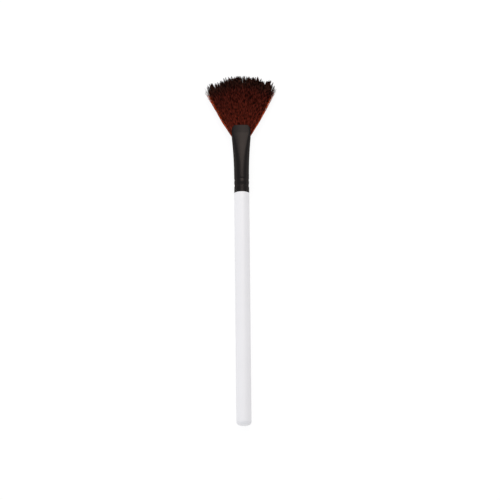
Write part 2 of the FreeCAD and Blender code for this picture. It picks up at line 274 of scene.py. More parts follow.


# The colour attribute of the hair: red is the way from tip to root over DYE_SPAN, green the
# hair's own tone with its partly painted streaks, and blue how loose it is at the fan's edge, in
# even steps, which sets the painted glow
STRAND_DATA = "strand"
DYE_SPAN = 34 * MM
LOOSENESS_STEPS = 4

# How far inside the arc of the tips the dye is counted from, and how unevenly the ends took it
DYE_START = 1.05 * MM
DYE_UNEVENNESS = 0.7 * MM

# How far the tones of single hairs differ, and the darkest and the lightest that one can have
TONE_SPREAD = 0.12
TONE_LIMITS = (0.02, 0.98)

# How dark the darkest and how light the lightest hair is, against the hair's own colour
SHADES = (0.06, 1.66)

# Painted flecks of highlight and shade where the light catches a few hairs: width and length, how
# strongly they show, and the distance from the fan's centre at which they have that width. One
# hair is too fine to show, so a fleck is as wide as two or three.
FLECK_SIZE = (0.25 * MM, 1.5 * MM)
FLECK_GAIN = 4.2
FLECK_REACH = 25 * MM

# Streaks of lighter and darker hair, partly the hairs' own tone and partly painted light and
# shade where hairs lie in one direction: the same three, and the middle column and the number of
# columns of the grid that holds them
STREAK_SIZE = (0.4 * MM, 1.3 * MM)
STREAK_GAIN = 0.15
STREAK_REACH = 40 * MM
STREAK_COLUMNS = (200, 420)

# The baking map: how wide one hair is in its band, and the margins beside and at the ends
HAIR_MAP_WIDTH = 0.02
HAIR_MAP_MARGINS = (0.03, 0.01)

# Where the fan has opened near its tips: angle from the middle, depth and half width
PARTINGS = tuple(
    (math.radians(place), depth * MM, math.radians(width)) for place, depth, width in (
        (26.6, 7.0, 0.5), (-27.0, 9.0, 0.4), (-24.0, 3.6, 0.25), (-20.2, 2.4, 0.2),
        (14.0, 1.5, 0.15), (22.5, 2.0, 0.2)))
# How far beside a parting its hairs still give way, in half widths
PARTING_FADE = 2.5

# How wide the fan's loose edge is on the -X and on the +X side
FRINGES = (math.radians(3.9), math.radians(1.5))

# How the hair thins out over that edge: looseness, and the share of hairs that are left
THINNING = ((0.0, 1.0), (0.45, 0.3), (0.8, 0.05), (1.0, 0.02))

# How the cut of the tips leaves its arc: place across the fan, -1 to 1, and extra length
TIP_CUT = tuple((place, extra * MM) for place, extra in (
    (-1.0, -0.7), (-0.9, 0.8), (-0.8, 1.1), (-0.68, 0.3), (-0.55, -0.3), (-0.4, 0.4),
    (0.0, 0.3), (0.45, 1.1), (0.65, 0.9), (0.8, 2.3), (0.9, 1.4), (1.0, 0.4)))

# How the fan slims in the mouth: from where across it, over what way, and by what share
MOUTH_SLIMMING = (0.3, 0.5, 0.16)

# How far the tufts stray from an even spacing, in the fan and again in each layer, in tufts
TUFT_STRAY = 0.12
LAYER_STRAY = 0.25
# How deep tufts are cut back at most: in the middle of the fan, and how much more at its sides
CUT_BACKS = (1.5 * MM, 1.2 * MM)
# How much shorter a hair is one tuft's width beside its tuft
TUFT_POINT = 1.0 * MM
# The least and the most that a tuft pulls its hairs together, and how far up or down, in layers
TUFT_PULLS = (0.2, 0.75)
TUFT_LIFT = 0.3
# Places along a hair where the slow and the quick part of that pull start, the slow part's
# share, and how late it comes
GATHER_STARTS = (0.35, 0.88)
SLOW_GATHER = 0.6
GATHER_DELAY = 1.6

# How uneven the tips are hair by hair: in the middle of the fan, and how much more at its sides
TIP_UNEVENNESS = (1.0 * MM, 0.7 * MM)
# Shorter hairs among the rest: their share and how much they lack at most, each in the middle
# and how much more at the sides, and from where across the fan and over what way that grows
SHORT_SHARES = (0.08, 0.5)
SHORT_LACKS = (5 * MM, 4 * MM)
SHORT_SIDES = (0.62, 0.3)
# Short hairs in the loose edges: their share on the -X and on the +X side, and how much they
# lack at most
EDGE_SHORT_SHARES = (0.9, 0.75)
EDGE_SHORT_LACK = 12 * MM
# How far the loose edges' hairs lean in at most, as a share of the edge's width, and how far
# the looseness of one of them strays from its place's
EDGE_LEAN = 0.3
LOOSENESS_STRAY = (-0.1, 0.2)

# How far a hair wanders from its line: at all, and how much more where it is loose
WANDER = (0.10 * MM, 0.12 * MM)
STRAND_WANDER = 0.14 * MM
# The least and the most waves along a hair, sideways and in height, and how high the waves are
# as a share of half the fan's thickness
WANDER_WAVES = (0.5, 2.0)
LIFT_WAVES = (1.5, 3.5)
LIFT = 0.2
# Three layers of hair lie in the fan's thickness, so half of it is this many
HALF_LAYERS = 1.5

# Loose strands at both edges: hairs in one, how far past the fan's edge they end at most, over
# what shares of the loose edge their tips and their roots lie, and how wide they are at each
STRAND_HAIRS = 3
STRAND_REACH = math.radians(0.5)
STRAND_TIPS, STRAND_ROOTS = 0.6, 0.7
STRAND_WIDTHS = (math.radians(0.14), math.radians(0.3))
# How much a strand's hairs lack at least, and how much more at most
STRAND_LACKS = (0.5 * MM, 7 * MM)
# How far a strand lies from the fan's middle plane at most, as a share of half the thickness,
# the least and the most of its tone, and how loose it can be, with how often each comes
STRAND_LEVEL = 0.8
STRAND_TONES = (0.25, 0.95)
STRAND_LOOSENESS, STRAND_CHANCES = (2 / 3, 1.0), (0.3, 0.7)

# How thick a hair's tip is, against the hair, and the way over which it thins
TIP_SHARE = 0.3
TAPER_LENGTH = 2.5 * MM


def hair_painted_flecks(tree):
    """Noise for the painted flecks, in the fan's own directions: narrow across the hair and
    longer along it.
    """
    fan = bpy.context.scene.fan_brush_fan
    width, length_along = FLECK_SIZE
    place = add_node(tree, "ShaderNodeTexCoord")
    from_centre = add_node(tree, "ShaderNodeVectorMath", {
        0: place.outputs["Object"], 1: (0.0, -(REAR_RIM + fan.centre), -AXIS_HEIGHT)})
    split = add_node(tree, "ShaderNodeSeparateXYZ", {"Vector": from_centre.outputs["Vector"]})
    bearing = add_node(tree, "ShaderNodeMath", {
        0: split.outputs["X"], 1: split.outputs["Y"]}, operation="ARCTAN2")
    reach = add_node(tree, "ShaderNodeVectorMath", {
        0: from_centre.outputs["Vector"]}, operation="LENGTH")
    fan_place = add_node(tree, "ShaderNodeCombineXYZ", {
        "X": bearing.outputs["Value"], "Y": reach.outputs["Value"], "Z": split.outputs["Z"]})
    cells = add_node(tree, "ShaderNodeVectorMath", {
        0: fan_place.outputs["Vector"], 1: (FLECK_REACH / width, 1 / length_along, 1 / width)},
        operation="MULTIPLY")
    return add_node(tree, "ShaderNodeTexNoise", {
        "Vector": cells.outputs["Vector"], "Scale": 1.0, "Detail": 0.0})


def dyed_hair():
    """Synthetic filament, drawn, dyed reddish brown and dipped near-black at its ends.

    It is dull and dark in the mass, with a painted orange glow where single hairs stand in the
    light, painted sheen on the lightest hairs and painted flecks of highlight and shade.
    """
    material, tree = new_material("Dyed synthetic hair")
    finishes = bpy.context.scene.fan_brush_finishes
    data = add_node(tree, "ShaderNodeAttribute", attribute_name=STRAND_DATA)
    split = add_node(tree, "ShaderNodeSeparateColor", {"Color": data.outputs["Color"]})
    tip, middle, root, sheen, edge = (linear(value) for value in (
        finishes.hair_tip, finishes.hair_middle, finishes.hair_root, finishes.hair_painted_sheen,
        finishes.hair_edge_glow))
    along = colour_stops(
        add_node(tree, "ShaderNodeValToRGB", {"Fac": split.outputs["Red"]}),
        [(0.0, tip), (0.1, tip), (0.22, middle), (0.65, root)])
    # Painted glow: loose hairs take the orange of light shining through them between their dark
    # ends and the mouth, fading into painted shade towards the mouth
    glow_start = add_node(tree, "ShaderNodeMapRange", {
        "Value": split.outputs["Red"], "From Min": 0.04, "From Max": 0.13})
    glow_end = add_node(tree, "ShaderNodeMapRange", {
        "Value": split.outputs["Red"], "From Min": 0.7, "From Max": 0.95,
        "To Min": 1.0, "To Max": 0.2})
    bare = add_node(tree, "ShaderNodeMath", {
        0: glow_start.outputs["Result"], 1: glow_end.outputs["Result"]}, operation="MULTIPLY")
    outermost = add_node(tree, "ShaderNodeMath", {
        0: split.outputs["Blue"], 1: 2.0}, operation="POWER")
    glow = add_node(tree, "ShaderNodeMath", {
        0: bare.outputs["Value"], 1: outermost.outputs["Value"]}, operation="MULTIPLY")
    glowing = add_node(tree, "ShaderNodeMix", {
        "Factor": glow.outputs["Value"]}, data_type="RGBA")
    tree.links.new(along.outputs["Color"], glowing.inputs["A"])
    glowing.inputs["B"].default_value = edge
    # Each hair's own tone, and the painted flecks of highlight and shade, make it darker or
    # lighter
    fleck = add_node(tree, "ShaderNodeMath", {
        0: hair_painted_flecks(tree).outputs["Fac"], 1: FLECK_GAIN, 2: -FLECK_GAIN / 2},
        operation="MULTIPLY_ADD")
    tone = add_node(tree, "ShaderNodeMath", {
        0: split.outputs["Green"], 1: fleck.outputs["Value"]}, operation="ADD", use_clamp=True)
    shade = add_node(tree, "ShaderNodeMapRange", {
        "Value": tone.outputs["Value"], "To Min": SHADES[0], "To Max": SHADES[1]})
    toned = add_node(tree, "ShaderNodeVectorMath", {
        "Vector": glowing.outputs["Result"], "Scale": shade.outputs["Result"]}, operation="SCALE")
    # Painted sheen: the lightest hairs are mixed towards a pale colour that stands in for a dull
    # gleam
    gleam = add_node(tree, "ShaderNodeMapRange", {
        "Value": tone.outputs["Value"], "From Min": 0.5, "From Max": 0.98, "To Max": 0.05})
    gleaming = add_node(tree, "ShaderNodeMix", {
        "Factor": gleam.outputs["Result"]}, data_type="RGBA")
    tree.links.new(toned.outputs["Vector"], gleaming.inputs["A"])
    gleaming.inputs["B"].default_value = sheen
    shader = add_node(tree, "ShaderNodeBsdfPrincipled", {
        "Base Color": gleaming.outputs["Result"], "Roughness": 0.55, "IOR": 1.5,
        "Specular IOR Level": 0.04})
    finish_surface(tree, shader)
    return material


def new_piece(name, points, faces, material, replaced):
    """A smooth mesh piece that rides on the body and stands for a CAD node."""
    mesh = bpy.data.meshes.new(name)
    mesh.from_pydata([tuple(point) for point in points], [], [tuple(face) for face in faces])
    mesh.validate()
    piece = bpy.data.objects.new(name, mesh)
    bpy.context.scene.collection.objects.link(piece)
    mesh.materials.append(material)
    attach(piece, "root")
    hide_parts(replaced)
    return piece


def smooth_by_angle(mesh, limit_degrees):
    """Smooth shading that stays crisp over edges sharper than the limit."""
    mesh.polygons.foreach_set("use_smooth", [True] * len(mesh.polygons))
    mesh.set_sharp_from_angle(angle=math.radians(limit_degrees))


def arc_points(centre, radius, start, end, steps):
    """Points of an arc in (radius, station), both ends included."""
    return [(centre[0] + radius * math.cos(turn), centre[1] + radius * math.sin(turn))
            for turn in np.linspace(start, end, steps)]


class FANBRUSH_OT_handle(Operator):
    """Turn the lacquered handle, with its rounded butt and its tenon"""

    bl_idname = "fan_brush.handle"
    bl_label = "Handle"

    def profile(self, sizes):
        """The rod's outline from the butt to the end of the tenon, as (radius, station)."""
        radius = sizes.diameter / 2
        butt = -sizes.visible_length
        dome, edge = sizes.butt_dome_radius, sizes.butt_round
        inner = radius - edge
        rise = math.sqrt((dome - edge) ** 2 - inner ** 2)
        dome_centre = (0.0, butt + dome)
        edge_centre = (inner, butt + dome - rise)
        lean = math.asin(inner / (dome - edge))
        outline = arc_points(dome_centre, dome, -math.pi / 2, -math.pi / 2 + lean, 8)
        outline += arc_points(edge_centre, edge, -math.pi / 2 + lean, 0.0, 14)[1:]
        shoulder = sizes.shoulder_bevel
        straight = np.linspace(edge_centre[1], -shoulder, 30)[1:]
        outline += [(radius, station) for station in straight]
        outline += arc_points((radius - shoulder, -shoulder), shoulder, 0.0, math.pi / 2, 5)[1:]
        tenon_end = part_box("handle")[1].y - REAR_RIM
        ferrule = bpy.context.scene.fan_brush_ferrule
        outline += [(sizes.tenon_radius - crimp_drop(ferrule, station), station)
                    for station in crimp_stations(ferrule)]
        outline.append((sizes.tenon_radius, ferrule.round_end - sizes.tenon_nose_drop))
        outline.append((sizes.tenon_radius - sizes.tenon_nose_drop, tenon_end))
        return outline

    def execute(self, context):
        sizes = context.scene.fan_brush_handle
        outline = self.profile(sizes)
        count = sizes.segments
        points, faces = [(0.0, REAR_RIM + outline[0][1], AXIS_HEIGHT)], []
        for radius, station in outline[1:]:
            for turn in np.arange(count) * 2 * math.pi / count:
                points.append((radius * math.sin(turn), REAR_RIM + station,
                               AXIS_HEIGHT + radius * math.cos(turn)))
        last = len(outline) - 2
        points.append((0.0, REAR_RIM + outline[-1][1], AXIS_HEIGHT))
        for index in range(count):
            after = (index + 1) % count
            faces.append((0, 1 + index, 1 + after))
            for ring in range(last):
                here, there = 1 + ring * count, 1 + (ring + 1) * count
                faces.append((here + index, there + index, there + after, here + after))
            end = 1 + last * count
            faces.append((end + index, len(points) - 1, end + after))
        handle = new_piece("handle_rod", points, faces, white_lacquer(), "handle")
        smooth_by_angle(handle.data, 40)
        return {"FINISHED"}


def crimp_stations(sizes):
    """Stations from the rear rim to the end of the crimp, close together where it curves."""
    turns = (0.0, sizes.crimp_start, sizes.rear_groove, sizes.bead, sizes.front_groove,
             sizes.crimp_end)
    spans = [np.linspace(start, end, 10)[:-1] for start, end in zip(turns, turns[1:])]
    return np.append(np.concatenate(spans), sizes.crimp_end)


def crimp_drop(sizes, station):
    """How far the crimping rollers have pressed the tube in: twice gently, with a steep front."""
    turns = ((sizes.crimp_start, 0.0), (sizes.rear_groove, sizes.rear_depth), (sizes.bead, 0.0),
             (sizes.front_groove, sizes.front_depth), (sizes.crimp_end, 0.0))
    for (start, start_drop), (end, end_drop) in zip(turns, turns[1:]):
        if start <= station <= end:
            blend = (1 - math.cos(math.pi * (station - start) / (end - start))) / 2
            return start_drop + (end_drop - start_drop) * blend
    return 0.0


class FANBRUSH_OT_ferrule(Operator):
    """Form the black ferrule: crimped, pressed flat and slotted at its sides"""

    bl_idname = "fan_brush.ferrule"
    bl_label = "Ferrule"

    COLUMNS = 97
    TINY = 1e-9

    def stations(self, sizes):
        """Stations of the rings, close together where the outline curves."""
        notch_floor = sizes.length - sizes.notch_depth
        lip_start = sizes.length - sizes.lip_length
        notch_round = sizes.notch_width / 2
        corner_start = sizes.length - sizes.corner_length
        quarter = np.linspace(0, math.pi / 2, 15)
        spans = [
            crimp_stations(sizes), np.linspace(sizes.crimp_end, sizes.round_end, 4),
            np.linspace(sizes.round_end, notch_floor, 60),
            notch_floor + notch_round * (1 - np.cos(quarter)),
            np.linspace(notch_floor + notch_round, lip_start, 12),
            np.linspace(lip_start, corner_start, 8),
            corner_start + sizes.corner_length * np.sin(quarter),
        ]
        found = np.concatenate(spans)
        keep = np.concatenate([[True], np.diff(found) > self.TINY])
        return found[keep]

    def section(self, sizes, station, inset):
        """Radius of the sides and of the faces, half the way between the sides' centres, and
        the angle that half a face turns through.

        A tube keeps its girth when it is pressed: what its sides give up, its faces gain.
        """
        way = (station - sizes.round_end) / (sizes.length - sizes.lip_length - sizes.round_end)
        share = min(max(way, 0.0), 1.0) ** 2
        pressed = sizes.radius - sizes.mouth_thickness / 2
        turn = 2 * sizes.crown / (pressed * math.pi / 2)
        half = pressed * share * math.pi / 2
        side = sizes.radius - pressed * share - inset - crimp_drop(sizes, station)
        return side, half / turn + side, half, turn

    def edge_distance(self, sizes, station, section):
        """Way round the section, from its middle line, to where the metal ends."""
        side, face, half, turn = section
        into_notch = station - (sizes.length - sizes.notch_depth)
        if into_notch <= self.TINY:
            return half + side * math.pi / 2
        notch_round = sizes.notch_width / 2
        from_centre = max(notch_round - into_notch, 0.0)
        height = math.sqrt(max(notch_round ** 2 - from_centre ** 2, 0.0))
        edge = half + side * math.acos(min(height / side, 1.0))
        into_corner = station - (sizes.length - sizes.corner_length)
        if into_corner <= self.TINY:
            return edge
        lip_half = half + math.sqrt(sizes.mouth_thickness ** 2 / 4 - notch_round ** 2)
        rest = math.sqrt(max(1 - (into_corner / sizes.corner_length) ** 2, 0.0))
        across = lip_half - sizes.corner_width * (1 - rest)
        if across <= face * math.sin(turn):
            return face * math.asin(across / face)
        side_centre = (face - side) * math.sin(turn)
        return min(edge, half + side * math.asin(min((across - side_centre) / side, 1.0)))

    def ring(self, sizes, station, inset, columns, up):
        """Points of the upper or lower half of a section, from +X to -X."""
        section = self.section(sizes, station, inset)
        side, face, half, turn = section
        edge = self.edge_distance(sizes, station, section)
        points = []
        for distance in np.linspace(edge, -edge, columns):
            if abs(distance) < face * turn:
                across = face * math.sin(distance / face)
                height = face * math.cos(distance / face) - (face - side) * math.cos(turn)
            else:
                lean = (abs(distance) - half) / side
                across = math.copysign(
                    (face - side) * math.sin(turn) + side * math.sin(lean), distance)
                height = side * math.cos(lean)
            points.append((across, REAR_RIM + station, AXIS_HEIGHT + up * height))
        return points

    def execute(self, context):
        sizes = context.scene.fan_brush_ferrule
        stations = self.stations(sizes)
        columns, rows = self.COLUMNS, len(stations)
        points, faces = [], []
        for up in (1, -1):
            first = {}
            for inset in (0.0, sizes.wall):
                first[inset] = len(points)
                for station in stations:
                    points += self.ring(sizes, station, inset, columns, up)
            outer, inner = first[0.0], first[sizes.wall]

            def quad(a, b, c, d, flip):
                faces.append((a, b, c, d) if flip == (up > 0) else (d, c, b, a))

            for row in range(rows - 1):
                for column in range(columns - 1):
                    corner = row * columns + column
                    beside, ahead = corner + 1, corner + columns
                    quad(outer + corner, outer + beside, outer + ahead + 1, outer + ahead, False)
                    quad(inner + corner, inner + beside, inner + ahead + 1, inner + ahead, True)
            for row, flip in ((0, True), (rows - 1, False)):
                for column in range(columns - 1):
                    corner = row * columns + column
                    beside = corner + 1
                    quad(outer + corner, outer + beside, inner + beside, inner + corner, flip)
            notch_row = int(np.argmin(abs(stations - (sizes.length - sizes.notch_depth))))
            for column, flip in ((0, False), (columns - 1, True)):
                for row in range(notch_row, rows - 1):
                    corner = row * columns + column
                    ahead = corner + columns
                    quad(outer + corner, outer + ahead, inner + ahead, inner + corner, flip)
        ferrule = new_piece(
            "ferrule_tube", points, faces, black_anodised(), "ferrule")
        weld(ferrule.data)
        smooth_by_angle(ferrule.data, 30)
        return {"FINISHED"}


def weld(mesh):
    """Join points that lie in one place and turn every face outward."""
    work = bmesh.new()
    work.from_mesh(mesh)
    bmesh.ops.remove_doubles(work, verts=work.verts, dist=0.0005 * MM)
    bmesh.ops.recalc_face_normals(work, faces=work.faces)
    work.to_mesh(mesh)
    work.free()


class FANBRUSH_OT_resin_plug(Operator):
    """Give the resin plug inside the ferrule its amber finish"""

    bl_idname = "fan_brush.resin_plug"
    bl_label = "Resin Plug"

    def execute(self, context):
        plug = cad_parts["resin_plug"]
        plug.data.materials.clear()
        plug.data.materials.append(cast_resin())
        return {"FINISHED"}


class FANBRUSH_OT_fan(Operator):
    """Grow the fan of hair: three layers of gathered tips and loose hairs at both edges"""

    bl_idname = "fan_brush.fan"
    bl_label = "Fan of Hair"

    # Rings along a hair, how much closer they stand towards its tip, and its sides
    RINGS = 17
    CROWDING = 1.35
    SIDES = 3

    def arc_reach(self, fan, angles):
        """Distance from the fan's centre to the arc of the tips."""
        offset = (fan.reach - fan.centre) - fan.tip_arc_radius
        arc = offset * np.cos(angles) + np.sqrt(
            fan.tip_arc_radius ** 2 - (offset * np.sin(angles)) ** 2)
        places, extras = zip(*TIP_CUT)
        return arc + np.interp(angles / fan.half_angle, places, extras)

    def half_thickness(self, fan, angles, reach):
        """Half the fan's thickness: fuller in the middle of the mouth than at its sides."""
        start, way, share = MOUTH_SLIMMING
        beside = np.clip((np.abs(angles) / fan.half_angle - start) / way, 0, 1)
        root = fan.root_half * (1 - share * beside)
        way = (reach - (fan.root - fan.centre)) / (fan.reach - fan.root)
        return root + (fan.tip_half - root) * np.clip(way, 0, 1)

    def tufts(self, fan, random):
        """Where the tips gather in tufts, and how far each tuft is cut back."""
        pitch = fan.clump_width / (fan.reach - fan.centre)
        count = int(2 * fan.half_angle / pitch) + 3
        centres = (np.arange(count) - count / 2 + 0.5) * pitch
        centres += random.normal(0, TUFT_STRAY * pitch, count)
        depths = CUT_BACKS[0] + CUT_BACKS[1] * (centres / fan.half_angle) ** 2
        return pitch, centres, depths * random.random(count) ** 1.5

    def layer(self, fan, random, level, tufts):
        """Lines and data of one layer's hairs."""
        count = fan.hairs
        angles = ((np.arange(count) + random.random(count)) / count * 2 - 1) * fan.half_angle
        fringe = np.where(angles < 0, *FRINGES)
        loose = np.clip(1 - (fan.half_angle - np.abs(angles)) / fringe, 0, 1)
        keep = random.random(count) < np.interp(loose, *zip(*THINNING))
        angles, fringe, loose = angles[keep], fringe[keep], loose[keep]
        count = len(angles)
        pitch, centres, cut_backs = tufts
        centres = centres + random.normal(0, LAYER_STRAY * pitch, len(centres))
        pulls = random.uniform(*TUFT_PULLS, len(centres))
        heights = random.uniform(-TUFT_LIFT, TUFT_LIFT, len(centres))
        nearest = np.abs(angles[:, None] - centres[None, :]).argmin(axis=1)
        aside = (angles - centres[nearest]) / pitch
        shortfall = cut_backs[nearest] + TUFT_POINT * np.abs(aside) ** 1.5
        sideways = np.abs(angles) / fan.half_angle
        shortfall += (TIP_UNEVENNESS[0] + TIP_UNEVENNESS[1] * sideways) * (
            random.random(count) ** 1.6)
        at_sides = np.clip((sideways - SHORT_SIDES[0]) / SHORT_SIDES[1], 0, 1)
        short = random.random(count) < SHORT_SHARES[0] + SHORT_SHARES[1] * at_sides
        shortfall[short] += (SHORT_LACKS[0] + SHORT_LACKS[1] * at_sides[short]) * (
            random.random(short.sum()))
        short = random.random(count) < np.where(angles < 0, *EDGE_SHORT_SHARES) * np.sqrt(loose)
        shortfall[short] += EDGE_SHORT_LACK * np.sqrt(random.random(short.sum()))
        lean_in = EDGE_LEAN * fringe * loose * random.random(count)
        arc = self.arc_reach(fan, angles)
        steps = LOOSENESS_STEPS - 1
        return {
            "angles": angles - np.sign(angles) * lean_in,
            "tips": arc - shortfall,
            "dyed_ends": arc - DYE_START,
            "levels": (level + random.uniform(-0.5, 0.5, count)) / HALF_LAYERS,
            "gather_angles": np.where(loose > 0, angles, centres[nearest]),
            "gather_levels": (level + heights[nearest]) / HALF_LAYERS,
            "pulls": np.where(loose > 0, 1.0, pulls[nearest]),
            "wander": WANDER[0] + WANDER[1] * loose,
            "tones": 0.5 + random.normal(0, TONE_SPREAD, count),
            "looseness": np.clip(np.round(
                (loose + random.uniform(*LOOSENESS_STRAY, count)) * steps) / steps,
                0, 1) * (loose > 0),
        }

    def strays(self, fan, random):
        """Lines and data of the loose strands at both edges, two in three on the -X side."""
        strands = np.arange(fan.stray_hairs) // STRAND_HAIRS
        count, kinds = len(strands), strands.max() + 1
        side = np.where(np.arange(kinds) % 3 == 0, 1.0, -1.0)
        fringe = np.where(side < 0, *FRINGES)
        ends = fan.half_angle + STRAND_REACH - STRAND_TIPS * fringe * random.random(kinds)
        roots = ends - fringe * random.uniform(0.0, STRAND_ROOTS, kinds)
        spread = STRAND_WIDTHS[0] * random.normal(0, 1, count)
        ends, roots = side[strands] * (ends[strands] + spread), side[strands] * roots[strands]
        reach = self.arc_reach(fan, ends)
        return {
            "angles": roots + STRAND_WIDTHS[1] * random.normal(0, 1, count),
            "tips": reach - STRAND_LACKS[1] * random.random(count) ** 0.9 - STRAND_LACKS[0],
            "dyed_ends": reach,
            "levels": random.uniform(-STRAND_LEVEL, STRAND_LEVEL, kinds)[strands],
            "gather_angles": ends,
            "gather_levels": random.uniform(-STRAND_LEVEL, STRAND_LEVEL, kinds)[strands],
            "pulls": np.ones(count),
            "wander": np.full(count, STRAND_WANDER),
            "tones": random.uniform(*STRAND_TONES, kinds)[strands],
            "looseness": random.choice(STRAND_LOOSENESS, kinds, p=STRAND_CHANCES)[strands],
        }

    def part(self, fan, angles, tips, reach):
        """Angles with the hair parted where the fan has opened near its tips."""
        for place, depth, width in PARTINGS:
            aside = angles - place
            opened = np.clip((reach - tips + depth) / depth, 0, 1)
            near = np.exp(-(aside / (PARTING_FADE * width)) ** 2)
            angles = angles + np.sign(aside) * width * near * opened
        return angles

    def wave(self, random, count, ways, turns):
        """A wave of its own along every hair."""
        turns = random.uniform(*turns, count)[:, None] * ways[None, :]
        phases = random.uniform(0, 2 * math.pi, count)[:, None]
        return random.normal(0, 1, count)[:, None] * np.sin(2 * math.pi * turns + phases)

    def lines(self, fan, random, hairs):
        """Points of every hair, how far each lies from the hair's own tip, and its angle."""
        ways = 1 - (1 - np.linspace(0, 1, self.RINGS)) ** self.CROWDING
        count = len(hairs["angles"])
        root = (fan.root - fan.centre) / np.cos(hairs["angles"] - fan.lean)
        reach = root[:, None] + (hairs["tips"] - root)[:, None] * ways[None, :]
        slow, quick = (np.clip((ways - start) / (1 - start), 0, 1) for start in GATHER_STARTS)
        gather = SLOW_GATHER * slow ** GATHER_DELAY + (1 - SLOW_GATHER) * quick
        pull = hairs["pulls"][:, None] * gather[None, :]
        angles = hairs["angles"][:, None] * (1 - pull) + hairs["gather_angles"][:, None] * pull
        # The bow is widest a third of the way along, where 27 / 4 makes its curve 1
        angles = angles * (1 + 27 / 4 * fan.bow * ways * (1 - ways) ** 2)[None, :]
        angles = self.part(fan, angles, self.arc_reach(fan, angles), reach)
        levels = hairs["levels"][:, None] * (1 - pull) + hairs["gather_levels"][:, None] * pull
        # The resin holds the roots, and from two thirds of the way along a hair is free
        free = np.clip(ways * 3 / 2, 0, 1)[None, :]
        wander = self.wave(random, count, ways, WANDER_WAVES) * hairs["wander"][:, None] * free
        levels += LIFT * self.wave(random, count, ways, LIFT_WAVES) * free
        height = levels * self.half_thickness(fan, angles, reach)
        bearing = angles - fan.lean
        across = reach * np.sin(bearing) + wander * np.cos(bearing)
        along = reach * np.cos(bearing) - wander * np.sin(bearing)
        points = np.stack([
            across, REAR_RIM + fan.centre + along, AXIS_HEIGHT + height], axis=-1)
        return points, hairs["tips"][:, None] - reach, angles

    def streaks(self, random, angles, reach):
        """Soft streaks of lighter and darker hair, partly the hairs' own tone and partly painted
        light and shade, about three times as long as wide.
        """
        across, along = STREAK_SIZE
        rows = (reach / along).clip(0, None)
        middle, count = STREAK_COLUMNS
        columns = angles / (across / STREAK_REACH) + middle
        grid = random.normal(0, 1, (int(rows.max()) + 3, count))
        low_row, low_column = np.floor(rows).astype(int), np.floor(columns).astype(int)
        row_way, column_way = rows - low_row, columns - low_column
        return ((grid[low_row, low_column] * (1 - column_way)
                 + grid[low_row, low_column + 1] * column_way) * (1 - row_way)
                + (grid[low_row + 1, low_column] * (1 - column_way)
                   + grid[low_row + 1, low_column + 1] * column_way) * row_way)

    def skin(self, fan, random, points, from_tip):
        """Rings of corners round every hair, thinning to its tip."""
        tangent = np.gradient(points, axis=1)
        tangent /= np.linalg.norm(tangent, axis=-1, keepdims=True)
        beside = np.cross(tangent, np.array([0.0, 0.0, 1.0]))
        beside /= np.linalg.norm(beside, axis=-1, keepdims=True)
        above = np.cross(beside, tangent)
        taper = TIP_SHARE + (1 - TIP_SHARE) * np.sqrt(np.clip(from_tip / TAPER_LENGTH, 0, 1))
        radius = fan.hair_diameter / 2 * taper
        turns = random.uniform(0, 2 * math.pi, len(points))
        corners = turns[:, None] + np.arange(self.SIDES)[None, :] * 2 * math.pi / self.SIDES
        spoke = (np.cos(corners)[:, None, :, None] * beside[:, :, None, :]
                 + np.sin(corners)[:, None, :, None] * above[:, :, None, :])
        return points[:, :, None, :] + spoke * radius[:, :, None, None]

    def build(self, fan, random, name, hairs, material):
        """Make one piece of the fan, with the data that its colours read."""
        points, from_tip, angles = self.lines(fan, random, hairs)
        rings = self.skin(fan, random, points, from_tip)
        count, sides, last = len(points), self.SIDES, self.RINGS - 1
        per_hair = self.RINGS * sides
        pattern, row_of_corner, side_of_corner = [], [], []
        for ring in range(last):
            for side in range(sides):
                after = (side + 1) % sides
                pattern.append((ring * sides + side, ring * sides + after,
                                (ring + 1) * sides + after, (ring + 1) * sides + side))
                row_of_corner += [ring, ring, ring + 1, ring + 1]
                side_of_corner += [side, side + 1, side + 1, side]
        quads = np.array(pattern)[None, :, :] + (np.arange(count) * per_hair)[:, None, None]
        caps = [tuple(range(sides))[::-1], tuple(last * sides + side for side in range(sides))]
        cap_faces = np.array(caps)[None, :, :] + (np.arange(count) * per_hair)[:, None, None]
        faces = quads.reshape(-1, 4).tolist() + cap_faces.reshape(-1, sides).tolist()
        piece = new_piece(name, rings.reshape(-1, 3), faces, material, "bristles")
        mesh = piece.data
        mesh.polygons.foreach_set("use_smooth", [True] * len(mesh.polygons))

        streaks = self.streaks(random, angles, hairs["tips"][:, None] - from_tip)
        tone = np.clip(hairs["tones"][:, None] + STREAK_GAIN * streaks, *TONE_LIMITS)
        dyed = hairs["dyed_ends"] - hairs["tips"] + random.normal(0, DYE_UNEVENNESS, count)
        start = from_tip + dyed[:, None]
        along = np.clip(start / DYE_SPAN, 0, 1)
        data = np.ones((count, self.RINGS, sides, 4), np.float32)
        data[..., 0] = along[:, :, None]
        data[..., 1] = tone[:, :, None]
        data[..., 2] = hairs["looseness"][:, None, None]
        attribute = mesh.attributes.new(STRAND_DATA, "FLOAT_COLOR", "POINT")
        attribute.data.foreach_set("color", data.ravel())

